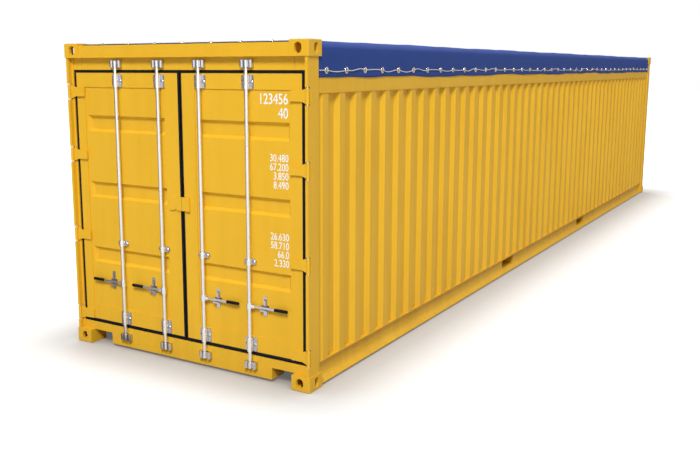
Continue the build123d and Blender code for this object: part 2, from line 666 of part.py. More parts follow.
def handle_catches(side):
    """Upright plate behind each handle: a sloped tongue above it, and a lipped shelf that it drops on."""
    plate_face = DOOR_END + PANEL_FACE - PLATE
    shelf_front = DOOR_END + BAR_DEPTH - HANDLE_DEEP
    shelf_top = HANDLE_LEVEL - HANDLE_TALL / 2 - SHELF_GAP
    with BuildPart() as catches:
        for offset in BAR_OFFSETS.values():
            place = side * (offset + CATCH_OFFSET)
            with BuildSketch(Plane.YZ.offset(plate_face)):
                with Locations((place, (CATCH_BOTTOM + CATCH_TOP) / 2)):
                    RectangleRounded(CATCH_WIDTH, CATCH_TOP - CATCH_BOTTOM, CATCH_WIDTH / 3)
                with Locations((place, HANDLE_LEVEL)):
                    RectangleRounded(2 * CATCH_WIDTH, CATCH_WIDTH, CATCH_WIDTH / 4)
            extrude(amount=PLATE)
            with BuildSketch(Plane.YZ.offset(plate_face)):
                with Locations((place, (TONGUE_BOTTOM + TONGUE_TOP) / 2)):
                    Rectangle(TONGUE_WIDTH, TONGUE_TOP - TONGUE_BOTTOM)
            extrude(amount=-TONGUE_RISE, taper=TONGUE_SLOPE)
            with BuildSketch(Plane.XZ.offset(-place)):
                Polygon(
                    (plate_face, shelf_top),
                    (shelf_front, shelf_top),
                    (shelf_front, shelf_top - SHELF_LIP),
                    (shelf_front + SHELF_THICK, shelf_top - SHELF_THICK),
                    (plate_face, shelf_top - SHELF_THICK),
                    align=None,
                )
            extrude(amount=SHELF_WIDTH / 2, both=True)
    return catches


def lock_plate(word, side):
    """Half of the lock plate, over the gaskets: the left has a notch below, the right a block in front."""
    far = LOCK_PLATE_FAR[word]
    back = LOCK_PLATE_FACE + PLATE
    plan = (
        (LOCK_PLATE_FACE, LOCK_PLATE_SEAM),
        (LOCK_PLATE_FACE, far),
        (LEAF_FACE, far),
        (LEAF_FACE, LOCK_SEAT),
        (back, LOCK_SEAT),
        (back, LOCK_PLATE_SEAM),
    )
    with BuildPart() as plate:
        with BuildSketch(Plane.XY.offset(LOCK_PLATE_BOTTOM)):
            Polygon(*[(DOOR_END + depth, side * across) for depth, across in plan], align=None)
        extrude(amount=LOCK_PLATE_TOP - LOCK_PLATE_BOTTOM)
        if word == "left":
            with BuildSketch(Plane.YZ.offset(DOOR_END)):
                Polygon(
                    (LOCK_NOTCH_PLACE - LOCK_NOTCH, LOCK_PLATE_BOTTOM),
                    (LOCK_NOTCH_PLACE, LOCK_PLATE_BOTTOM + LOCK_NOTCH),
                    (LOCK_NOTCH_PLACE + LOCK_NOTCH, LOCK_PLATE_BOTTOM),
                    align=None,
                )
            extrude(amount=LEAF_FACE, mode=Mode.SUBTRACT)
        else:
            with BuildSketch(Plane.XY.offset(LOCK_PLATE_BOTTOM)):
                with Locations((DOOR_END + LOCK_PLATE_FACE, -(LOCK_BLOCK_NEAR + far) / 2)):
                    Rectangle(
                        LOCK_PLATE_FACE - LOCK_BLOCK_FACE,
                        far - LOCK_BLOCK_NEAR,
                        align=(Align.MAX, Align.CENTER),
                    )
            extrude(amount=LOCK_PLATE_TOP - LOCK_PLATE_BOTTOM)
    return plate


def locking_bar(side, offset):
    """Tube with a necked cam at each end, and a forked hub for the handle."""
    axis = (DOOR_END + BAR_DEPTH, side * offset)
    eye = (side * (offset + EYE_OFFSET), HANDLE_LEVEL)
    fork_half = HANDLE_DEEP / 2 + CHEEK_PLAY
    columns = (
        (NECK_RADIUS, CAM_LEVELS[0], CAM_LEVELS[1]),
        (BAR_RADIUS, BAR_BOTTOM, BAR_TOP),
        (HUB_RADIUS, HANDLE_LEVEL - HUB_HEIGHT / 2, HANDLE_LEVEL + HUB_HEIGHT / 2),
    )
    with BuildPart() as bar:
        for radius, bottom, top in columns:
            with BuildSketch(Plane.XY.offset(bottom)):
                with Locations(axis):
                    Circle(radius)
            extrude(amount=top - bottom)
        for level in CAM_LEVELS:
            with BuildSketch(Plane.XY.offset(level - CAM_HEIGHT / 2)):
                with Locations(axis):
                    Circle(CAM_RADIUS)
                    with Locations((0, side * CAM_RADIUS)):
                        Circle(CAM_RADIUS / 2, mode=Mode.SUBTRACT)
            extrude(amount=CAM_HEIGHT)
        for face in (-fork_half - CHEEK, fork_half):
            with BuildSketch(Plane.YZ.offset(DOOR_END + BAR_DEPTH + face)):
                with Locations(eye):
                    Circle(EYE_RADIUS)
                with Locations((side * (offset + EYE_OFFSET / 2), HANDLE_LEVEL)):
                    Rectangle(EYE_OFFSET, 2 * EYE_RADIUS)
            extrude(amount=CHEEK)
        with BuildSketch(Plane.YZ.offset(DOOR_END + BAR_DEPTH - fork_half)):
            with Locations(eye):
                Circle(EYE_PIN)
        extrude(amount=2 * fork_half)
    return bar


def bar_handle(side, offset):
    """Flat lever with a bored eye on the hub's pin, that drops level towards the hinges."""
    eye = (side * (offset + EYE_OFFSET), HANDLE_LEVEL)
    reach = HANDLE_REACH - EYE_OFFSET
    with BuildPart() as handle:
        with BuildSketch(Plane.YZ.offset(DOOR_END + BAR_DEPTH - HANDLE_DEEP / 2)):
            with Locations(eye):
                Circle(EYE_RADIUS)
                Rectangle(reach, HANDLE_TALL, align=(Align.MIN if side > 0 else Align.MAX, Align.CENTER))
                Circle(EYE_PIN + PIN_PLAY, mode=Mode.SUBTRACT)
        extrude(amount=HANDLE_DEEP)
    return handle


def handle_grip(side, offset):
    """Rubber sleeve over the end of a handle, bevelled at its closed end."""
    start = side * (offset + HANDLE_REACH - GRIP_LENGTH)
    with BuildPart() as grip:
        with BuildSketch(Plane.XZ.offset(-start)):
            with Locations((DOOR_END + BAR_DEPTH, HANDLE_LEVEL)):
                Circle(GRIP_RADIUS)
        extrude(amount=-side * (GRIP_LENGTH + GRIP_BEVEL))
        chamfer(grip.faces().sort_by(Axis.Y)[-1 if side > 0 else 0].edges(), GRIP_BEVEL)
        with BuildSketch(Plane.XZ.offset(-start)):
            with Locations((DOOR_END + BAR_DEPTH, HANDLE_LEVEL)):
                Rectangle(HANDLE_DEEP, HANDLE_TALL)
        extrude(amount=-side * GRIP_LENGTH, mode=Mode.SUBTRACT)
    return grip


for word, side in SIDES.items():
    save(door_frame(side), f"{word}_door_frame")
    save(door_panel(side), f"{word}_door_panel")
    save(door_gasket(side), f"{word}_door_gasket")
    save(hinge_blades(side), f"{word}_hinges")
    save(bar_brackets(side), f"{word}_bar_brackets")
    save(handle_catches(side), f"{word}_handle_catches")
    save(lock_plate(word, side), f"{word}_lock_plate")
    for row, offset in BAR_OFFSETS.items():
        save(locking_bar(side, offset), f"{word}_{row}_bar")
        save(bar_handle(side, offset), f"{word}_{row}_handle")
        save(handle_grip(side, offset), f"{word}_{row}_grip")

ear = (KEEPER_HALF - KEEPER_THROAT) / 2
with BuildPart() as cam_keepers:
    for level in CAM_LEVELS:
        with BuildSketch(Plane.XY.offset(level - KEEPER_HEIGHT / 2)):
            for side in SIDES.values():
                for offset in BAR_OFFSETS.values():
                    with Locations((DOOR_END + FRAME_FACE, side * offset)):
                        Rectangle(
                            FRAME_FACE - KEEPER_BASE, 2 * KEEPER_HALF, align=(Align.MAX, Align.CENTER)
                        )
                    for across in (ear - KEEPER_HALF, KEEPER_HALF - ear):
                        with Locations((DOOR_END + KEEPER_FRONT + ear, side * offset + across)):
                            Circle(ear)
                            Rectangle(
                                KEEPER_BASE - KEEPER_FRONT - ear, 2 * ear, align=(Align.MIN, Align.CENTER)
                            )
        extrude(amount=KEEPER_HEIGHT)
save(cam_keepers, "cam_keepers")
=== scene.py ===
# %% [markdown]
# An open-top freight container: a yellow steel box with a blue tarpaulin laced over it in place of a roof.
# The steel frame, the walls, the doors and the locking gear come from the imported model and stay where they
# are. This lesson paints them and adds what is soft or small: the cloth, its rope and rings, bolts, figures.

# %% load the steelwork
import json
import math

import bpy
import numpy as np
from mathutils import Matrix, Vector


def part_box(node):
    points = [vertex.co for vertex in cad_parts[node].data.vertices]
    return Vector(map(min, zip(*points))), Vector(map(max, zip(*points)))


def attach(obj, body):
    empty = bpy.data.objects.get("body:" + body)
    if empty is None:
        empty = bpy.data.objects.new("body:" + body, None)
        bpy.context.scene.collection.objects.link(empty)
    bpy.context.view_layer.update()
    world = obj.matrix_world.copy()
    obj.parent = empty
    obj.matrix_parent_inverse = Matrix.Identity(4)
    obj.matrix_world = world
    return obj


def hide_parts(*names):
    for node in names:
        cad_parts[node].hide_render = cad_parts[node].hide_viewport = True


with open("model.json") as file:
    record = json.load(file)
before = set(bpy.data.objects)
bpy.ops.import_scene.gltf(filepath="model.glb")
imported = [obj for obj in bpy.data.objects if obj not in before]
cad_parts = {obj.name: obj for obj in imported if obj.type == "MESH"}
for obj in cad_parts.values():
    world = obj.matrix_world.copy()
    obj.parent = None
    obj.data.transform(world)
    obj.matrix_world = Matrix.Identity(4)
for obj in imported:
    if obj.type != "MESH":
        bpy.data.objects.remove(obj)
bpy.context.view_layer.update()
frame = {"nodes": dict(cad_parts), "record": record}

scene = bpy.context.scene
nodes = frame["nodes"]

# %% [markdown]
# The camera stands a little left of the near corner, at about the height of the roof rails. Its place was
# worked out from the corners of the box in the picture, as a surveyor resects a station, so the same lens
# and a small shift put each corner back on its pixel.

# %% camera
IMAGE_WIDTH, IMAGE_HEIGHT = 700, 460
EYE = (-11.1131, -4.4141, 2.3864)
YAW, PITCH = 0.546, -0.166
FOCAL_PIXELS = 842.47
CENTRE_PIXEL = (326.5, 209.6)
SENSOR_MM, FAR_LIMIT = 36.0, 400.0

camera_data = bpy.data.cameras.new("camera")
camera_data.sensor_width = SENSOR_MM
camera_data.lens = FOCAL_PIXELS / IMAGE_WIDTH * SENSOR_MM
camera_data.shift_x = (IMAGE_WIDTH / 2 - CENTRE_PIXEL[0]) / IMAGE_WIDTH
camera_data.shift_y = (CENTRE_PIXEL[1] - IMAGE_HEIGHT / 2) / IMAGE_WIDTH
camera_data.clip_end = FAR_LIMIT
camera = bpy.data.objects.new("camera", camera_data)
scene.collection.objects.link(camera)
look = Vector((math.cos(PITCH) * math.cos(YAW), math.cos(PITCH) * math.sin(YAW), math.sin(PITCH)))
camera.location = EYE
camera.rotation_euler = look.to_track_quat("-Z", "Y").to_euler()
scene.camera = camera
print("camera: lens", round(camera_data.lens, 2), "mm")

# %% [markdown]
# Materials are built from nodes. Wiring them by hand hides the idea, so one small class wraps a socket and
# lets Python's own operators add the Math nodes, and one method adds every other node. A finish then reads
# like the sum that it is.

# %% a small language for finishes
class Wire:
    """An output socket; arithmetic on it adds a Math node to its finish."""

    def __init__(self, finish, socket):
        self.finish = finish
        self.socket = socket

    def math(self, operation, first, second):
        return self.finish.node("Math", {"operation": operation}, {0: first, 1: second})

    def __add__(self, other):
        return self.math("ADD", self, other)

    def __sub__(self, other):
        return self.math("SUBTRACT", self, other)

    def __rsub__(self, other):
        return self.math("SUBTRACT", other, self)

    def __mul__(self, other):
        return self.math("MULTIPLY", self, other)

    def __abs__(self):
        return self.math("ABSOLUTE", self, 0.0)

    __radd__ = __add__


class Finish:
    """A material under construction around one Principled shader."""

    NOISE_ROUGHNESS = 0.55

    def __init__(self, name):
        self.material = bpy.data.materials.new(name)
        self.material.use_nodes = True
        self.tree = self.material.node_tree
        self.shader = self.tree.nodes["Principled BSDF"]

    def node(self, kind, settings=None, sockets=None, out=0):
        """Add a shader node: its settings first, then its sockets."""
        made = self.tree.nodes.new("ShaderNode" + kind)
        for key, value in (settings or {}).items():
            setattr(made, key, value)
        for key, value in (sockets or {}).items():
            self.plug(made.inputs[key], value)
        return Wire(self, made.outputs[out])

    def plug(self, socket, value):
        """Link a wire to a socket, or write a constant on it; a colour gets its alpha."""
        if isinstance(value, Wire):
            self.tree.links.new(value.socket, socket)
        elif isinstance(value, (tuple, list)) and len(value) == 3 and socket.type == "RGBA":
            socket.default_value = (*value, 1.0)
        else:
            socket.default_value = value

    def set(self, **sockets):
        """Feed the shader's sockets by name, with spaces written as underscores."""
        for key, value in sockets.items():
            self.plug(self.shader.inputs[key.replace("_", " ")], value)

    def place(self, source="Object", scale=(1.0, 1.0, 1.0)):
        """Coordinates on the piece, in metres, stretched for a pattern."""
        spot = self.node("TexCoord", out=source)
        return self.node("Mapping", sockets={"Vector": spot, "Scale": scale})

    def along(self, axis):
        """One coordinate on the piece, in metres: axis 0, 1 or 2 for x, y or z."""
        return self.node("SeparateXYZ", sockets={0: self.node("TexCoord", out="Object")}, out=axis)

    def noise(self, size, detail=3.0, stretch=(1.0, 1.0, 1.0), source="Object"):
        """Cloudy values from 0 to 1 whose lumps are about `size` metres across."""
        spot = self.place(source, tuple(1.0 / (size * part) for part in stretch))
        sockets = {"Vector": spot, "Scale": 1.0, "Detail": detail, "Roughness": self.NOISE_ROUGHNESS}
        return self.node("TexNoise", sockets=sockets)

    def ramp(self, value, low, high, start=0.0, end=1.0):
        """Map low..high of a value to start..end, held at both ends."""
        sockets = {"Value": value, "From Min": low, "From Max": high, "To Min": start, "To Max": end}
        return self.node("MapRange", {"clamp": True}, sockets)

    def mix(self, factor, first, second):
        """Blend two colours."""
        settings = {"data_type": "RGBA", "clamp_factor": True}
        return self.node("Mix", settings, {0: factor, 6: first, 7: second}, out=2)

    def bump(self, height, depth, strength):
        """Raise the surface by height times depth, in metres."""
        sockets = {"Height": height, "Distance": depth, "Strength": strength}
        self.set(Normal=self.node("Bump", sockets=sockets))


print("finish language ready")

# %% [markdown]
# Marine paint is a thick semi-gloss coat. Up close it has a faint orange-peel skin and cloudy patches where
# it has chalked, and dust settles towards the floor. All of it is slight here, because the box is nearly new:
# a strong pattern would read as rust. The same recipe with other colours makes every painted piece.

# %% paint
CLOUD_SIZE, GRAIN_SIZE, STREAK_SIZE, PEEL_SIZE, PEEL_DEPTH = 0.9, 0.012, 0.35, 0.006, 0.0004
DUST, DUST_HEIGHT = (0.30, 0.22, 0.12), 0.55
PAINT_GLOSS = 0.24


def painted(name, colour, shade, rough=0.42, dust=0.10):
    """Coat of paint: colour drifts towards a second shade in clouds, and rough patches follow the clouds."""
    coat = Finish(name)
    clouds = coat.noise(CLOUD_SIZE, detail=4.0)
    grain = coat.noise(GRAIN_SIZE, detail=2.0)
    streaks = coat.noise(STREAK_SIZE, stretch=(0.25, 0.25, 3.0))
    worn = coat.ramp(clouds * 0.6 + streaks * 0.4, 0.42, 0.68)
    tone = coat.mix(worn * 0.55, colour, shade)
    low = coat.ramp(coat.along(2), 0.0, DUST_HEIGHT, 1.0, 0.0) * coat.ramp(streaks, 0.35, 0.75)
    tone = coat.mix(low * dust, tone, DUST)
    coat.set(Base_Color=coat.mix(grain * 0.10, tone, shade), Specular_IOR_Level=PAINT_GLOSS)
    coat.set(Roughness=rough + worn * 0.10 + (grain - 0.5) * 0.06)
    coat.bump(coat.noise(PEEL_SIZE, detail=1.0) * 0.7 + clouds * 0.3, PEEL_DEPTH, 0.35)
    return coat.material


YELLOW, YELLOW_SHADE = (0.755, 0.430, 0.022), (0.665, 0.360, 0.014)
TAR, TAR_SHADE = (0.032, 0.029, 0.026), (0.055, 0.045, 0.035)
yellow_paint = painted("yellow_paint", YELLOW, YELLOW_SHADE)
underframe_paint = painted("underframe_paint", TAR, TAR_SHADE, rough=0.6, dust=0.3)
print("paint:", yellow_paint.name, underframe_paint.name)

# %% [markdown]
# Hot-dip galvanising freezes into flat crystals, a spangle of slightly different greys. A Voronoi cell with
# one random value per cell is that pattern; it only nudges colour and roughness, since the steel is mostly
# mirror. The sleeves that the bars turn in stand out furthest from their plates, and there they are rubbed
# bright, so that finish changes with depth.

# %% galvanised steel
SPANGLES_PER_METRE, SMEAR_SIZE, ZINC_DEPTH, DULLED = 160.0, 0.05, 0.0002, 0.72


def galvanised(name, colour, rough, polish=None, polished_at=None):
    """Zinc coat: each spangle cell has its own grey and gloss; past a depth along x it can be polished."""
    zinc = Finish(name)
    cells = {"Vector": zinc.place(), "Scale": SPANGLES_PER_METRE}
    cells = zinc.node("TexVoronoi", {"feature": "F1"}, cells, out="Color")
    spangle = zinc.node("SeparateColor", sockets={0: cells})
    smear = zinc.noise(SMEAR_SIZE, stretch=(1.0, 1.0, 6.0))
    dull = tuple(part * DULLED for part in colour)
    tone = zinc.mix(spangle * 0.12 + smear * 0.14, colour, dull)
    if polish:
        tone = zinc.mix(zinc.ramp(zinc.along(0), *polished_at), tone, polish)
    zinc.set(Base_Color=tone, Metallic=1.0)
    zinc.set(Roughness=rough + spangle * 0.04 + smear * 0.06)
    zinc.bump(smear + spangle * 0.2, ZINC_DEPTH, 0.06)
    return zinc.material


SLEEVE_DEPTH = (-6.058, -6.064)
BRIGHT_ZINC, FORGED_ZINC = (0.90, 0.89, 0.91), (0.60, 0.60, 0.66)
SLEEVE_ZINC, RUBBED_ZINC = (0.52, 0.52, 0.57), (0.92, 0.90, 0.88)
galvanised_steel = galvanised("galvanised_steel", BRIGHT_ZINC, 0.17)
forged_zinc = galvanised("forged_zinc", FORGED_ZINC, 0.18)
sleeve_zinc = galvanised("sleeve_zinc", SLEEVE_ZINC, 0.22, RUBBED_ZINC, SLEEVE_DEPTH)
print("zinc:", galvanised_steel.name, forged_zinc.name, sleeve_zinc.name)

# %% [markdown]
# Door seals are extruded strips, and handle sleeves are dipped: both are matte black rubber with a blue-black
# cast. A plain black would look like a hole in the picture, so a faint bloom of wax and a fine skin catch a
# little light, and very low gloss keeps the sky out of it.

# %% rubber
BLOOM_SIZE, SKIN_SIZE, SKIN_DEPTH, RUBBER_GLOSS = 0.10, 0.003, 0.0003, 0.12


def rubbery(name, colour, bloom):
    """Rubber: a pale bloom in clouds over near-black, with a fine skin."""
    skin = Finish(name)
    cloud = skin.noise(BLOOM_SIZE)
    tone = skin.mix(skin.ramp(cloud, 0.4, 0.8) * 0.5, colour, bloom)
    skin.set(Base_Color=tone, Specular_IOR_Level=RUBBER_GLOSS)
    skin.set(Roughness=0.55 + cloud * 0.2)
    skin.bump(skin.noise(SKIN_SIZE, detail=2.0), SKIN_DEPTH, 0.4)
    return skin.material


gasket_rubber = rubbery("gasket_rubber", (0.004, 0.005, 0.011), (0.012, 0.014, 0.022))
handle_grip = rubbery("handle_grip", (0.006, 0.006, 0.007), (0.018, 0.018, 0.02))
print("rubber:", gasket_rubber.name, handle_grip.name)

# %% [markdown]
# The floor is marine plywood in boards along the box. Long stretched noise is the grain, a brick pattern of
# thin dark joints divides the boards, and each board takes its own tone from the brick's random tint.

# %% timber
BOARD_LENGTH, BOARD_WIDTH, BOARD_JOINT, BOARD_DEPTH = 2.4, 0.3, 0.0025, 0.0015
WOOD_GRAIN, JOINT_BROWN = 0.02, (0.02, 0.014, 0.01)


def boarded(name, light, dark):
    """Boards with grain along them and dark joints between them."""
    boards = Finish(name)
    bricks = {"Vector": boards.place(), "Color1": (0.2, 0.2, 0.2), "Color2": (0.8, 0.8, 0.8)}
    bricks.update({"Mortar": (0.0, 0.0, 0.0), "Mortar Size": BOARD_JOINT, "Mortar Smooth": 0.2})
    bricks.update({"Scale": 1.0, "Brick Width": BOARD_LENGTH, "Row Height": BOARD_WIDTH})
    joints = boards.node("TexBrick", {"offset": 0.5}, bricks, out=1)
    tint = boards.node("SeparateColor", sockets={0: boards.node("TexBrick", {"offset": 0.5}, bricks)})
    grain = boards.noise(WOOD_GRAIN, detail=5.0, stretch=(14.0, 1.0, 1.0))
    wood = boards.mix(boards.ramp(grain * 0.7 + tint * 0.3, 0.3, 0.75), light, dark)
    boards.set(Base_Color=boards.mix(joints, wood, JOINT_BROWN))
    boards.set(Roughness=0.55 + grain * 0.2)
    boards.bump(grain * 0.3 + (1 - joints), BOARD_DEPTH, 0.5)
    return boards.material


floor_timber = boarded("floor_timber", (0.30, 0.16, 0.07), (0.13, 0.065, 0.03))
print("timber:", floor_timber.name)

# %% [markdown]
# A real container is blasted, primed and sprayed as a whole, and then the doors get their zinc-coated gear.
# Here each piece already says in the record which finish it has, so one loop dresses them all. Forged and
# rubbed zinc go to the small fittings by the ending of their names, because they are duller than the bars.

# %% dress the steelwork
SLOT_FINISH = {
    "yellow_paint": yellow_paint,
    "underframe_paint": underframe_paint,
    "galvanised_steel": galvanised_steel,
    "gasket_rubber": gasket_rubber,
    "handle_grip": handle_grip,
    "floor_timber": floor_timber,
}
slot_of = {part["node"]: part["material_slot"] for part in frame["record"]["subparts"]}


def wear(piece, finish):
    """Give a piece one finish all over."""
    piece.data.materials.clear()
    piece.data.materials.append(finish)


SPECIAL = {"bar_brackets": sleeve_zinc, "handle_catches": forged_zinc, "cam_keepers": forged_zinc,
           "handle": forged_zinc}
for node_name, piece in nodes.items():
    if slot_of[node_name] in SLOT_FINISH:
        special = [finish for ending, finish in SPECIAL.items() if node_name.endswith(ending)]
        wear(piece, special[0] if special else SLOT_FINISH[slot_of[node_name]])
print("dressed:", sum(slot_of[name] in SLOT_FINISH for name in nodes), "pieces")

# %% [markdown]
# Coated tarpaulin is a plain weave sealed in plastic: deep blue, a soft sheen, and the threads just showing
# as a fine check. The pattern follows the cloth, not the box, so it reads the sheet's own UV map in metres.
# Where the cloth bends over the side rails a painted highlight makes it paler, which depends on height and on
# distance from the middle. The rope is pale synthetic fibre, a little grimed.

# %% cloth and rope finishes
# painted highlight: a paler blue high on each side flap stands in for light on the cloth's rounded shoulder
BLUE, CHALKY_BLUE, SHOULDER_HIGHLIGHT_BLUE = (0.018, 0.050, 0.228), (0.032, 0.070, 0.275), (0.080, 0.125, 0.41)
HIGHLIGHT_LEVEL, HIGHLIGHT_ACROSS = (2.530, 2.576), (1.110, 1.165)
THREAD_SCALE, CHALK_SIZE, CREASE_SIZE, CREASE_DEPTH, CLOTH_GLOSS = 95.0, 0.5, 0.22, 0.0010, 0.15


def coated_cloth(name, colour, pale, highlight_blue):
    """Weave as two crossed waves, clouds of chalking, and a painted highlight high on each side's shoulder.
    """
    cloth = Finish(name)
    threads = {"Vector": cloth.place("UV"), "Scale": THREAD_SCALE}
    weft = cloth.node("TexWave", {"bands_direction": "X"}, threads)
    warp = cloth.node("TexWave", {"bands_direction": "Y"}, threads)
    clouds = cloth.noise(CHALK_SIZE, detail=4.0, source="UV")
    creases = cloth.noise(CREASE_SIZE, detail=2.0, stretch=(0.6, 3.0, 1.0), source="UV")
    chalk = cloth.ramp(clouds * 0.6 + creases * 0.4, 0.40, 0.72)
    # painted highlight: paler near the top of each side flap, for light falling on the rounded shoulder
    shoulder_highlight = cloth.ramp(abs(cloth.along(1)), *HIGHLIGHT_ACROSS) * cloth.ramp(cloth.along(2), *HIGHLIGHT_LEVEL)
    weathered = cloth.mix(chalk * 0.5, colour, pale)
    cloth.set(Base_Color=cloth.mix(shoulder_highlight * (0.5 + clouds), weathered, highlight_blue))
    cloth.set(Roughness=0.55 + chalk * 0.12, Specular_IOR_Level=CLOTH_GLOSS)
    cloth.bump(weft * 0.25 + warp * 0.25 + creases, CREASE_DEPTH, 0.5)
    return cloth.material


FIBRE_SIZE, FIBRE_DEPTH, GRIME_SIZE = 0.004, 0.0006, 0.15
ROPE_PALE, ROPE_GRIME = (0.66, 0.66, 0.64), (0.40, 0.39, 0.37)


def laid_rope(name, colour, dirt):
    """Pale fibre: fine flecks along the tube's own UV map, and grime in clouds."""
    yarn = Finish(name)
    fibre = yarn.noise(FIBRE_SIZE, stretch=(1.0, 4.0, 1.0), source="UV")
    grime = yarn.noise(GRIME_SIZE, detail=2.0)
    yarn.set(Base_Color=yarn.mix(fibre * 0.35 + grime * 0.25, colour, dirt), Roughness=0.8 - fibre * 0.1)
    yarn.bump(fibre, FIBRE_DEPTH, 0.6)
    return yarn.material


tarpaulin_cloth = coated_cloth("tarpaulin_cloth", BLUE, CHALKY_BLUE, SHOULDER_HIGHLIGHT_BLUE)
rope_fibre = laid_rope("rope", ROPE_PALE, ROPE_GRIME)
print("cloth:", tarpaulin_cloth.name, "rope:", rope_fibre.name)

# %% [markdown]
# The new shapes are surfaces computed as whole arrays. One helper takes grids of points, joins their
# neighbours into quads, drops the quads that a mask leaves out and writes everything into one mesh at once.

# %% grids into meshes
def grid_quads(rows, columns, wrap=False, keep=None):
    """Corner numbers of the quads between neighbours of a rows by columns grid, closed round when wrapped."""
    index = np.arange(rows * columns).reshape(rows, columns)
    right = np.roll(index, -1, axis=1) if wrap else index[:, 1:]
    left = index if wrap else index[:, :-1]
    quads = np.stack([left[:-1], right[:-1], right[1:], left[1:]], axis=-1)
    return quads.reshape(-1, 4) if keep is None else quads[keep]


def make_piece(name, points, quads, finish, uv=None):
    """Write points (n by 3) and quads (m by 4) into a smooth mesh object that sits at the origin."""
    used, corners = np.unique(quads, return_inverse=True)
    corners = corners.reshape(-1)
    mesh = bpy.data.meshes.new(name)
    mesh.vertices.add(len(used))
    mesh.vertices.foreach_set("co", np.asarray(points, dtype=np.float32)[used].ravel())
    mesh.loops.add(len(corners))
    mesh.loops.foreach_set("vertex_index", corners.astype(np.int32))
    mesh.polygons.add(len(quads))
    mesh.polygons.foreach_set("loop_start", np.arange(0, len(corners), 4, dtype=np.int32))
    if uv is not None:
        layer = mesh.uv_layers.new(name="UVMap")
        layer.data.foreach_set("uv", np.asarray(uv, dtype=np.float32)[used][corners].ravel())
    mesh.update(calc_edges=True)
    mesh.polygons.foreach_set("use_smooth", np.full(len(quads), True))
    mesh.materials.append(finish)
    piece = bpy.data.objects.new(name, mesh)
    scene.collection.objects.link(piece)
    return piece


def merge_grids(*grids):
    """Stack (points, quads) or (points, quads, uv) surfaces into one, with the quads renumbered."""
    starts = np.cumsum([0] + [len(grid[0]) for grid in grids])
    points, quads, *uv = zip(*grids)
    quads = [faces + start for faces, start in zip(quads, starts)]
    return [np.concatenate(stack) for stack in (points, quads, *uv)]


SAME_POINT = 1e-5


def close_seams(piece):
    """Join points that lie on one another: two edges that meet, or a ring drawn in to a point."""
    piece.modifiers.new("closed", "WELD").merge_threshold = SAME_POINT


def belongs(piece, body):
    """Let a new piece ride on a body."""
    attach(piece, body)
    print(piece.name, "rides on", body, "with", len(piece.data.polygons), "faces")


# %% [markdown]
# The tarpaulin is one wide cloth: up from the left hem, over the bows and down to the right hem. Its cross
# section is a line of points by arc length, and each row along the box bends that line a little: the top sags
# between bows, the hem waves, and the rope pulls the flap in at every ring. A simulated cloth would hang
# about the same, but 12 metres of it is slow to settle, and the lacing holds it where these waves put it.

# %% tarpaulin
tarp_low, tarp_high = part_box("tarpaulin")
casting_low, casting_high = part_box("top_corner_castings")
CASTING_LENGTH, CASTING_WIDTH = 0.178, 0.162
CLOTH, CLEAR, LIFT = 0.0016, 0.003, 0.003
HALF_WIDTH = float(tarp_high[1])
HEM, CREST = float(tarp_low[2]), float(tarp_high[2]) + LIFT
SHOULDER_ACROSS, SHOULDER_DOWN = 0.030, 0.100
TOP_HALF, TOP_COLUMNS = float(casting_high[1]) - CASTING_WIDTH - CLEAR, 41
BESIDE_CASTING = float(casting_high[0]) - CASTING_LENGTH - CLEAR
BELOW_CASTING = float(casting_low[2]) - CLEAR
FLAP_INSET = 0.158
FLAP_END = float(casting_high[0]) - FLAP_INSET
DOOR_EDGE, FRONT_EDGE = float(tarp_low[0]), float(tarp_high[0])
BOW_BAYS = 21
BOW_PITCH = (2 * float(casting_high[0]) - 2 * CASTING_LENGTH) / BOW_BAYS
RING_PITCH, RING_COUNT, RING_LEVEL = 0.2915, 41, 2.3735
END_RING_PITCH, END_RING_COUNT = 0.285, 7


def waves(along, seed, lengths, heights):
    """Sum of sines of the given wavelengths and heights, each with its own seeded phase."""
    phases = np.random.default_rng(seed).uniform(0, 2 * np.pi, len(lengths))
    parts = [h * np.sin(2 * np.pi * along / l + p) for l, h, p in zip(lengths, heights, phases)]
    return np.sum(parts, axis=0)


def section_line():
    """Arrays (y, z, arc length) of the section from left hem to right hem; each shoulder is an ellipse."""
    start = CREST - SHOULDER_DOWN
    flap = np.concatenate([np.linspace(HEM, BELOW_CASTING, 10)[:-1], np.linspace(BELOW_CASTING, start, 3)])
    turn = np.linspace(0, np.pi / 2, 9)[1:]
    bend = HALF_WIDTH + SHOULDER_ACROSS * (np.cos(turn) - 1)
    left_y = np.concatenate([np.full(len(flap), HALF_WIDTH), bend])
    left_z = np.concatenate([flap, start + SHOULDER_DOWN * np.sin(turn)])
    shoulder = np.linspace(HALF_WIDTH - SHOULDER_ACROSS, TOP_HALF, 7)[1:]
    middle = np.linspace(TOP_HALF, -TOP_HALF, TOP_COLUMNS)[1:-1]
    y = np.concatenate([left_y, shoulder, middle, -shoulder[::-1], -left_y[::-1]])
    z = np.concatenate([left_z, np.full(2 * len(shoulder) + len(middle), CREST), left_z[::-1]])
    steps = np.hypot(np.diff(y), np.diff(z))
    return y, z, np.concatenate([[0.0], np.cumsum(steps)])


def ring_pull(along, pitch):
    """1 at each ring, falling to 0 between rings."""
    return np.cos(np.pi * along / pitch) ** 8


CREST_LENGTHS, CREST_HEIGHTS = (2.3, 0.83, 0.39), (0.0018, 0.0013, 0.0007)
HEM_HEIGHTS, BILLOW_HEIGHTS = (0.005, 0.004, 0.002), (0.0015, 0.0012, 0.0006)
LEFT_HEM_LENGTHS, RIGHT_HEM_LENGTHS = (2.9, 1.13, 0.47), (3.3, 1.27, 0.53)
LEFT_BILLOW_LENGTHS, RIGHT_BILLOW_LENGTHS = (1.7, 0.61, 0.24), (1.9, 0.57, 0.26)
PULL_DEPTH, PULL_REACH = 0.002, 0.06
BOW_SAG, EDGE_DROOP, DROOP_REACH = 0.016, 0.006, 0.04


def crest_wave(along):
    """Slow rise and fall of the cloth along the box, never below the crest."""
    return waves(along, 11, CREST_LENGTHS, CREST_HEIGHTS) + sum(CREST_HEIGHTS)


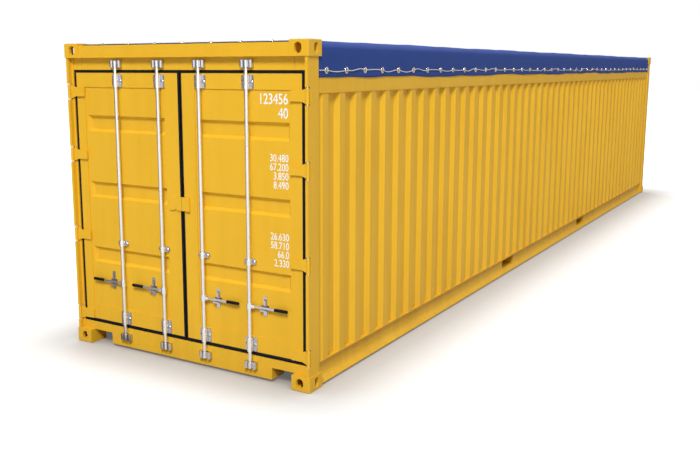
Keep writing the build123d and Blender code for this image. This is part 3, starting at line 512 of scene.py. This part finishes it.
def tarp_surface():
    """Rows along the box by columns along the cross section; the cloth is bent row by row."""
    rows = np.concatenate([
        np.linspace(DOOR_EDGE, -FLAP_END, 6),
        np.linspace(-BESIDE_CASTING, BESIDE_CASTING, 325),
        np.linspace(FLAP_END, FRONT_EDGE - SHOULDER_ACROSS, 4),
    ])
    y, z, arc = section_line()
    x = rows[:, None] + 0 * y
    on_top = np.abs(y) < HALF_WIDTH - SAME_POINT
    shoulder = CREST - SHOULDER_DOWN
    hang = np.clip((shoulder - z) / (shoulder - HEM), 0, 1) * ~on_top
    side = np.sign(y) * ~on_top
    hem_wave = np.where(side > 0, waves(x, 3, LEFT_HEM_LENGTHS, HEM_HEIGHTS),
                        waves(x, 5, RIGHT_HEM_LENGTHS, HEM_HEIGHTS))
    billow = np.where(side > 0, waves(x, 7, LEFT_BILLOW_LENGTHS, BILLOW_HEIGHTS),
                      waves(x, 9, RIGHT_BILLOW_LENGTHS, BILLOW_HEIGHTS))
    pull = ring_pull(x, RING_PITCH) * np.exp(-(((z - RING_LEVEL) / PULL_REACH) ** 2)) * PULL_DEPTH
    between_bows = np.cos(np.pi * x / BOW_PITCH) ** 2
    slack = BOW_SAG * between_bows * np.clip(1 - (np.abs(y) / TOP_HALF) ** 4, 0, 1)
    slack = slack * (np.abs(x) < BESIDE_CASTING)
    droop = EDGE_DROOP * np.exp((DOOR_EDGE - x) / DROOP_REACH)
    out_y = y + side * (billow * np.sqrt(hang) - pull)
    out_z = z + hem_wave * hang ** 2 - slack - droop + crest_wave(x) * np.clip(1 - 8 * hang, 0, 1)
    points = np.stack([x, out_y, out_z], axis=-1)
    cell_x = np.abs((rows[:-1] + rows[1:]) / 2)[:, None]
    cell_y, cell_z = np.abs(y[:-1] + y[1:])[None] / 2, (z[:-1] + z[1:])[None] / 2
    over_top = cell_y < TOP_HALF
    under = (cell_z < BELOW_CASTING) & (cell_x < FLAP_END)
    keep = (cell_x < BESIDE_CASTING) | over_top | under
    flat = np.stack([x, arc + 0 * x], axis=-1)
    return points.reshape(-1, 3), grid_quads(len(rows), len(y), keep=keep), flat.reshape(-1, 2)


END_HEM_LENGTHS, END_HEM_HEIGHTS = (1.7, 0.61), (0.005, 0.003)
END_BILLOW_LENGTHS, END_BILLOW_HEIGHTS = (1.1, 0.43), (0.0015, 0.001)


def front_flap():
    """Flap over the blind end: rows round an elliptical shoulder and down to a waved hem, columns across."""
    across = np.linspace(TOP_HALF, -TOP_HALF, TOP_COLUMNS)
    turn = np.linspace(0, np.pi / 2, 9)
    down = np.linspace(0, CREST - SHOULDER_DOWN - HEM, 14)[1:]
    past = np.concatenate([SHOULDER_ACROSS * (np.sin(turn) - 1), 0 * down])
    drop = np.concatenate([SHOULDER_DOWN * (1 - np.cos(turn)), SHOULDER_DOWN + down])
    hang = np.concatenate([0 * turn, down / down[-1]])[:, None]
    lift = crest_wave(FRONT_EDGE - SHOULDER_ACROSS) * np.clip(1 - 8 * hang, 0, 1)
    billow = waves(across, 13, END_BILLOW_LENGTHS, END_BILLOW_HEIGHTS)
    hem_wave = waves(across, 15, END_HEM_LENGTHS, END_HEM_HEIGHTS)
    x = FRONT_EDGE + past[:, None] + billow * np.sqrt(hang)
    z = CREST - drop[:, None] + hem_wave * hang ** 2 + lift
    y = across + 0 * x
    points = np.stack([x, y, z], axis=-1)
    flat = np.stack([FRONT_EDGE + drop[:, None] + 0 * y, y], axis=-1)
    return points.reshape(-1, 3), grid_quads(len(drop), len(across)), flat.reshape(-1, 2)


cloth_points, cloth_quads, cloth_uv = merge_grids(tarp_surface(), front_flap())
tarp = make_piece("tarpaulin_cloth", cloth_points, cloth_quads, tarpaulin_cloth, cloth_uv)
close_seams(tarp)
thicken = tarp.modifiers.new("thickness", "SOLIDIFY")
thicken.thickness = CLOTH
thicken.offset = 1.0
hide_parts("tarpaulin")
belongs(tarp, "container")

# %% [markdown]
# The lacing rope runs through a row of staples welded to the rail. Between two staples it hangs slack, a
# little up or down, never twice alike. It is a tube carried along that wandering line, and the radius swells
# three times round the section, turning as it goes, which draws the three strands of a laid rope.

# %% lacing rope
ROPE_RADIUS, ROPE_STEP, ROPE_SIDES = 0.0038, 0.005, 12
STRAND_PITCH, STRAND_SWELL = 0.036, 0.2
LOWEST_HANG, HIGHEST_RISE, MOST_CURL, CURLED_SHARE = 0.022, 0.008, 0.010, 0.5
ROPE_OUT = HALF_WIDTH + CLOTH + ROPE_RADIUS
DOOR_ROPE = float(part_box("tarp_rope")[0][0]) + ROPE_RADIUS


def slack_line(length, pitch, count, seed):
    """Distances along a run and the rope's drop there: each bay is a half sine and a full sine, seeded."""
    along = np.arange(-length / 2, length / 2, ROPE_STEP)
    bay = along / pitch + (count - 1) / 2
    number = np.clip(np.floor(bay), -1, count - 1).astype(int) + 1
    share = np.where((bay > 0) & (bay < count - 1), bay - np.floor(bay), 0)
    draw = np.random.default_rng(seed)
    hang = draw.uniform(-HIGHEST_RISE, LOWEST_HANG, count + 1)[number]
    curl = draw.uniform(-MOST_CURL, MOST_CURL, count + 1)
    curl = (curl * (draw.random(count + 1) < CURLED_SHARE))[number]
    return along, -hang * np.sin(np.pi * share) - curl * np.sin(2 * np.pi * share)


def rope_tube(line, outward):
    """Rings of points round a line's points: three lobes turn along the tube, and its ends are drawn in."""
    tangent = np.gradient(line, axis=0)
    tangent /= np.linalg.norm(tangent, axis=1, keepdims=True)
    first = np.broadcast_to(np.asarray(outward, dtype=float), tangent.shape)
    second = np.cross(tangent, first)
    first = np.cross(second, tangent)
    arc = np.concatenate([[0.0], np.cumsum(np.linalg.norm(np.diff(line, axis=0), axis=1))])[:, None]
    angle = np.linspace(0, 2 * np.pi, ROPE_SIDES, endpoint=False)[None]
    lobes = np.abs(np.cos(1.5 * (angle - 2 * np.pi * arc / STRAND_PITCH)))
    between_ends = (np.arange(len(line)) % (len(line) - 1) > 0)[:, None]
    radius = ROPE_RADIUS * (1 - STRAND_SWELL + STRAND_SWELL * lobes) * between_ends
    ring = np.cos(angle)[..., None] * first[:, None] + np.sin(angle)[..., None] * second[:, None]
    points = line[:, None] + radius[..., None] * ring
    flat = np.stack([angle * ROPE_RADIUS + 0 * arc, arc + 0 * angle], axis=-1)
    return points.reshape(-1, 3), grid_quads(len(line), ROPE_SIDES, wrap=True), flat.reshape(-1, 2)


def side_rope(side, seed):
    """Run along one long side, a hand's width above the hem."""
    along, drop = slack_line(2 * FLAP_END, RING_PITCH, RING_COUNT, seed)
    line = np.stack([along, np.full(len(along), side * ROPE_OUT), RING_LEVEL + drop], axis=-1)
    return rope_tube(line, (0, side, 0))


def front_rope():
    """Run across the blind end."""
    along, drop = slack_line(2 * TOP_HALF, END_RING_PITCH, END_RING_COUNT, 31)
    out = np.full(len(along), FRONT_EDGE + CLOTH + ROPE_RADIUS)
    return rope_tube(np.stack([out, along, RING_LEVEL + drop], axis=-1), (1, 0, 0))


def door_rope():
    """Run across the top of the door header, lying on the cloth."""
    along, drop = slack_line(2 * TOP_HALF, END_RING_PITCH, END_RING_COUNT, 37)
    level = np.full(len(along), CREST + CLOTH + ROPE_RADIUS)
    return rope_tube(np.stack([DOOR_ROPE + drop, along, level], axis=-1), (0, 0, 1))


runs = [side_rope(1, 21), side_rope(-1, 23), front_rope(), door_rope()]
rope_points, rope_quads, rope_uv = merge_grids(*runs)
rope = make_piece("lacing_rope", rope_points, rope_quads, rope_fibre, rope_uv)
close_seams(rope)
print(f"rope: {sum(float(flat[:, 1].max()) for _, _, flat in runs):.1f} m in {len(runs)} runs")
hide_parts("tarp_rope")
belongs(rope, "container")

# %% [markdown]
# Each staple comes through the cloth in a round eyelet with a rolled metal rim. Rim and staple are tubes
# again, one round a circle and one round a narrow arch. A single template of each is repeated over all the
# places by adding arrays, which is what an array modifier does, without one object per ring.

# %% eyelets and staples
RIM_RADIUS, RIM_TUBE, RIM_POINTS = 0.021, 0.0042, 28
STAPLE_HALF, STAPLE_ROD, STAPLE_ROOT, STAPLE_POINTS = 0.0125, 0.0025, -0.012, 13
TUBE_SIDES = 8


def tube(line, radius, closed, normal):
    """Round tube along a line that lies in a plane with this normal; open ends are drawn in."""
    ahead, behind = np.roll(line, -1, axis=0), np.roll(line, 1, axis=0)
    step = ahead - behind if closed else np.gradient(line, axis=0)
    step = step / np.linalg.norm(step, axis=1, keepdims=True)
    up = np.broadcast_to(np.asarray(normal, dtype=float), step.shape)
    out = np.cross(up, step)
    angle = np.linspace(0, 2 * np.pi, TUBE_SIDES, endpoint=False)[None, :, None]
    points = line[:, None] + radius * (np.cos(angle) * out[:, None] + np.sin(angle) * up[:, None])
    if closed:
        points = np.concatenate([points, points[:1]])
    else:
        first, last = 0 * points[:1] + line[0], 0 * points[:1] + line[-1]
        points = np.concatenate([first, points, last])
    return points.reshape(-1, 3), grid_quads(len(points), TUBE_SIDES, wrap=True)


def repeated(template, places, outward, upward):
    """Copies of a template at every place: its x, y and z lie along sideways, upward and outward."""
    points, quads = template
    outward, upward = np.asarray(outward, dtype=float), np.asarray(upward, dtype=float)
    turn = np.stack([np.cross(upward, outward), upward, outward])
    spots = places[:, None] + (points @ turn)[None]
    faces = quads[None] + np.arange(len(places))[:, None, None] * len(points)
    return spots.reshape(-1, 3), faces.reshape(-1, 4)


def rim_template():
    """Circle of RIM_RADIUS in the local x, y plane, as a tube."""
    turn = np.linspace(0, 2 * np.pi, RIM_POINTS, endpoint=False)
    circle = np.stack([RIM_RADIUS * np.cos(turn), RIM_RADIUS * np.sin(turn), 0 * turn], axis=-1)
    return tube(circle, RIM_TUBE, True, (0, 0, 1))


def staple_template():
    """Arch in the local y, z plane: a leg out, a half turn over the rope, and a leg back."""
    reach = 2 * ROPE_RADIUS + STAPLE_ROD - STAPLE_HALF
    turn = np.linspace(0, np.pi, STAPLE_POINTS)
    y = np.concatenate([[STAPLE_HALF], STAPLE_HALF * np.cos(turn), [-STAPLE_HALF]])
    z = np.concatenate([[STAPLE_ROOT], reach + STAPLE_HALF * np.sin(turn), [STAPLE_ROOT]])
    return tube(np.stack([0 * y, y, z], axis=-1), STAPLE_ROD, False, (1, 0, 0))


def ring_places():
    """Rows of staple places as (places, outward, upward): both sides, the blind end and the door header."""
    along = (np.arange(RING_COUNT) - (RING_COUNT - 1) / 2) * RING_PITCH
    across = (np.arange(END_RING_COUNT) - (END_RING_COUNT - 1) / 2) * END_RING_PITCH
    face = HALF_WIDTH + CLOTH
    left = np.stack([along, 0 * along + face, 0 * along + RING_LEVEL], axis=-1)
    right = left * [1, -1, 1]
    end = np.stack([0 * across + FRONT_EDGE + CLOTH, across, 0 * across + RING_LEVEL], axis=-1)
    head = np.stack([0 * across + DOOR_ROPE, across, 0 * across + CREST + CLOTH], axis=-1)
    return [(left, (0, 1, 0), (0, 0, 1)), (right, (0, -1, 0), (0, 0, 1)),
            (end, (1, 0, 0), (0, 0, 1)), (head, (0, 0, 1), (1, 0, 0))]


def all_copies(template):
    """A template repeated in every row of staple places."""
    return merge_grids(*[repeated(template, *row) for row in ring_places()])


rims = make_piece("tarp_eyelets", *all_copies(rim_template()), galvanised_steel)
close_seams(rims)
belongs(rims, "container")
staples = make_piece("rope_staples", *all_copies(staple_template()), yellow_paint)
close_seams(staples)
belongs(staples, "container")

# %% [markdown]
# Plain figures are stencilled in white on the right door. Their outlines are curves, far too fine to compute
# by hand, so Blender's own text object draws them; it is turned into a mesh, and then its points are moved to
# the door, a hair in front of the sheet.

# %% stencilled figures
PANEL_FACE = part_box("right_door_panel")[0][0]
FIGURE_RIGHT, FIGURE_DEPTH = -1.012, 0.0006
CAP_SHARE, NARROW, STROKE_SHARE, CURVE_STEPS = 0.73, 0.80, 0.012, 3
ROWS = [
    (2.131, 0.080, "123456"), (2.029, 0.080, "40"),
    (1.713, 0.056, "30.480"), (1.646, 0.056, "67.200"), (1.579, 0.056, "3.850"), (1.512, 0.056, "8.490"),
    (1.125, 0.056, "26.630"), (1.058, 0.056, "58.710"), (0.991, 0.056, "66.0"), (0.924, 0.056, "2.330"),
]


def figure_mesh(words, tall):
    """Corner points and faces of one row of figures, `tall` metres high, ending at x = 0 on its base line."""
    curve = bpy.data.curves.new("figures", "FONT")
    curve.body = words
    curve.align_x = "RIGHT"
    curve.size = tall / CAP_SHARE
    curve.offset = tall * STROKE_SHARE
    curve.resolution_u = CURVE_STEPS
    holder = bpy.data.objects.new("figures", curve)
    scene.collection.objects.link(holder)
    mesh = bpy.data.meshes.new_from_object(holder)
    points = np.empty(3 * len(mesh.vertices), dtype=np.float32)
    mesh.vertices.foreach_get("co", points)
    faces = [tuple(face.vertices) for face in mesh.polygons]
    bpy.data.objects.remove(holder)
    return points.reshape(-1, 3) * [NARROW, 1.0, 1.0], faces


def stencil(name, rows):
    """All rows as one mesh: a row's x runs to the right side, its y up, and its face looks outwards."""
    points, faces, start = [], [], 0
    for level, tall, words in rows:
        flat, polygons = figure_mesh(words, tall)
        out = np.full(len(flat), PANEL_FACE - FIGURE_DEPTH)
        points.append(np.stack([out, FIGURE_RIGHT - flat[:, 0], level + flat[:, 1]], axis=-1))
        faces += [tuple(corner + start for corner in polygon) for polygon in polygons]
        start += len(flat)
    mesh = bpy.data.meshes.new(name)
    mesh.from_pydata(np.concatenate(points), [], faces)
    piece = bpy.data.objects.new(name, mesh)
    scene.collection.objects.link(piece)
    return piece


WHITE, WHITE_SHADE = (0.86, 0.86, 0.83), (0.74, 0.73, 0.68)
stencil_white = painted("stencil_white", WHITE, WHITE_SHADE, rough=0.5, dust=0.05)
figures = stencil("door_figures", ROWS)
wear(figures, stencil_white)
belongs(figures, "right_door")

# %% [markdown]
# The brackets that hold the locking bars are bolted to the doors. A bolt head is a shape turned on a lathe,
# so a short list of radii and heights is spun round into rings, and one template is copied to every bolt's
# place. All bolts of a door are one mesh, which swings with that door.

# %% bracket bolts
BOLT_SIDES, DOME_RINGS = 16, 7
WASHER, WASHER_THICK, HEAD, HEAD_HIGH = 0.0125, 0.0018, 0.0090, 0.0060
BOLT_LEVELS, BOLT_APART = (0.281, 0.935, 2.2885), 0.0395
BAR_OFFSETS = (0.208, 0.660)
DOOR_FACE, BRACKET_DEPTH = float(casting_low[0]), 0.039


def bolt_template():
    """Rings of a washer and a domed head about the local z; the dome is a quarter ellipse in section."""
    rise = np.linspace(0, np.pi / 2, DOME_RINGS)[:-1]
    radius = np.concatenate([[0.0, WASHER, WASHER], HEAD * np.cos(rise), [0.0]])
    height = np.concatenate([[0.0, 0.0, WASHER_THICK], WASHER_THICK + HEAD_HIGH * np.sin(rise),
                             [WASHER_THICK + HEAD_HIGH]])
    turn = np.linspace(0, 2 * np.pi, BOLT_SIDES, endpoint=False)
    rings = [radius[:, None] * np.cos(turn), radius[:, None] * np.sin(turn), height[:, None] + 0 * turn]
    return np.stack(rings, axis=-1).reshape(-1, 3), grid_quads(len(radius), len(turn), wrap=True)


def bolt_places(side):
    """Two places beside each bar at every bracket of one door, on the face of the bracket's plate."""
    offset, level, apart = np.meshgrid(BAR_OFFSETS, BOLT_LEVELS, (-BOLT_APART, BOLT_APART), indexing="ij")
    across = side * (offset + apart)
    return np.stack([0 * across + DOOR_FACE + BRACKET_DEPTH, across, level], axis=-1).reshape(-1, 3)


for word, side in (("left", 1), ("right", -1)):
    copies = repeated(bolt_template(), bolt_places(side), (-1, 0, 0), (0, 0, 1))
    bolts = make_piece(f"{word}_bracket_bolts", *copies, forged_zinc)
    close_seams(bolts)
    belongs(bolts, f"{word}_door")
    print(bolts.name, len(bolt_places(side)), "bolts")

# %% [markdown]
# A studio of white paper: a floor without a horizon, an even dim surround and one strong soft lamp, high and
# far off on the door side, which makes the doors the bright face. Two weak lamps lift the far end of the long
# side and the back. Only the camera sees floor and surround as white. Near the box that white fades, and the
# floor shows its real shading deepened by a painted shadow, darkest under it. Mirror-like zinc needs
# something to mirror, so to it the
# surround is dark with one bright card, and the floor is dark to the far left of the doors.

# %% studio
BLACK, FULL_WHITE, ORIGIN = (0.0, 0.0, 0.0), (1.0, 1.0, 1.0), (0.0, 0.0, 0.0)
FLOOR_HALF, FLOOR_DROP, PAPER = 80.0, 0.001, 0.60
FOOTPRINT = (6.1, 1.22, 10.0)
GLOW_REACH, FOOT_GLOW = (0.15, 1.7), 0.25
# painted shadow: the paper's colour at the box's foot, how far it reaches, and how much open sky clears it
FOOT_SHADE, FOOT_SHADE_REACH, FOOT_SHADE_OPEN = (0.26, 0.22, 0.17), 0.75, (0.40, 0.97)
UNDER_BOX_OPEN, UNDER_BOX_GLOW = (0.15, 0.50), 0.45
AMBIENT = 0.32
CARD_WAY, CARD_EDGE = (-0.80, -0.60, 0.0), (0.38, 0.86)
MIRROR_DIM, MIRROR_CARD, MIRROR_FLOOR = 0.10, 1.55, 0.22
DOOR_CENTRE, LEFT_WAY, LEFT_EDGE = (-6.1, 0.0, 0.0), (0.5, 0.87, 0.0), (0.05, 0.60)
LAMPS = {
    "key": ((-33.0, -15.5, 32.5), (-3.0, 0.0, 1.2), 12.0, 20000.0),
    "fill": ((15.0, -15.0, 8.0), (4.0, -1.2, 1.6), 8.0, 520.0),
    "back": ((18.0, 22.0, 14.0), (0.0, 0.0, 1.2), 10.0, 2200.0),
}


class Surround(Finish):
    """The world's own node tree, built with the same small language."""

    def __init__(self, name):
        self.world = bpy.data.worlds.new(name)
        self.world.use_nodes = True
        self.tree = self.world.node_tree
        self.shader = self.tree.nodes["Background"]


def seen(finish):
    """1 for a ray that the camera sends out, and 0 for a ray that gathers light or a reflection."""
    return finish.node("LightPath", out="Is Camera Ray")


def mirrored(finish):
    """1 for a ray that a mirror-like surface sends out, and 0 for any other."""
    return finish.node("LightPath", out="Is Glossy Ray")


def vectors(finish, operation, first, second=ORIGIN, out="Vector"):
    """A sum on whole vectors, such as their difference or, as out="Value", their dot product."""
    return finish.node("VectorMath", {"operation": operation}, {0: first, 1: second}, out=out)


def past_footprint(paper):
    """Distance on the floor from the box's outline; 0 under the box."""
    beyond = vectors(paper, "SUBTRACT", vectors(paper, "ABSOLUTE", paper.place()), FOOTPRINT)
    return vectors(paper, "LENGTH", vectors(paper, "MAXIMUM", beyond), out="Value")


def left_of_doors(paper):
    """1 for the floor to the far left of the doors, and 0 for the rest."""
    way = vectors(paper, "NORMALIZE", vectors(paper, "SUBTRACT", paper.place(), DOOR_CENTRE))
    return paper.ramp(vectors(paper, "DOT_PRODUCT", way, LEFT_WAY, out="Value"), *LEFT_EDGE)


def studio_floor():
    """Square of pale paper, much larger than the view: shaded, with a painted shadow, at the box's foot;
    white further off.
    """
    corners = np.array([[-1, -1, 0], [1, -1, 0], [1, 1, 0], [-1, 1, 0]]) * FLOOR_HALF - [0, 0, FLOOR_DROP]
    paper = Finish("floor_paper")
    dim = mirrored(paper) * left_of_doors(paper)
    open_sky = paper.node("AmbientOcclusion", {"samples": 8}, {"Distance": FOOT_SHADE_REACH}, out="AO")
    white = seen(paper) * paper.ramp(past_footprint(paper), *GLOW_REACH, FOOT_GLOW)
    white = white * paper.ramp(open_sky, *UNDER_BOX_OPEN, UNDER_BOX_GLOW)
    glow = white + (mirrored(paper) - dim) * MIRROR_FLOOR
    # painted shadow: where ambient occlusion finds little open sky, the paper's colour darkens towards
    # FOOT_SHADE
    tone = paper.mix(paper.ramp(open_sky, *FOOT_SHADE_OPEN), FOOT_SHADE, (PAPER,) * 3)
    paper.set(Base_Color=paper.mix(dim, tone, (MIRROR_DIM,) * 3), Roughness=1.0, Specular_IOR_Level=0.0)
    paper.set(Emission_Color=paper.mix(glow, BLACK, FULL_WHITE), Emission_Strength=1.0)
    return make_piece("studio_floor", corners, np.array([[0, 1, 2, 3]]), paper.material)


def studio_world():
    """White to the camera, dim light to matt surfaces, and to mirrors dark with a card by the camera."""
    paper = Surround("surround")
    way = paper.node("TexCoord", out="Generated")
    facing = vectors(paper, "DOT_PRODUCT", way, CARD_WAY, out="Value")
    card = MIRROR_DIM + paper.ramp(facing, *CARD_EDGE) * (MIRROR_CARD - MIRROR_DIM)
    strength = AMBIENT + seen(paper) * (1.0 - AMBIENT) + mirrored(paper) * (card - AMBIENT)
    paper.set(Color=FULL_WHITE, Strength=strength)
    scene.world = paper.world


def lamp(name, spot, target, size, power):
    """Soft square lamp at a spot, turned to its target; size in metres, power in watts."""
    data = bpy.data.lights.new(name, "AREA")
    data.shape = "SQUARE"
    data.size = size
    data.energy = power
    made = bpy.data.objects.new(name, data)
    made.location = spot
    made.rotation_euler = (Vector(target) - Vector(spot)).to_track_quat("-Z", "Y").to_euler()
    scene.collection.objects.link(made)


studio_floor()
studio_world()
for lamp_name, settings in LAMPS.items():
    lamp(lamp_name, *settings)
scene.view_settings.view_transform = "Standard"
print("studio: floor, surround and", len(LAMPS), "lamps")
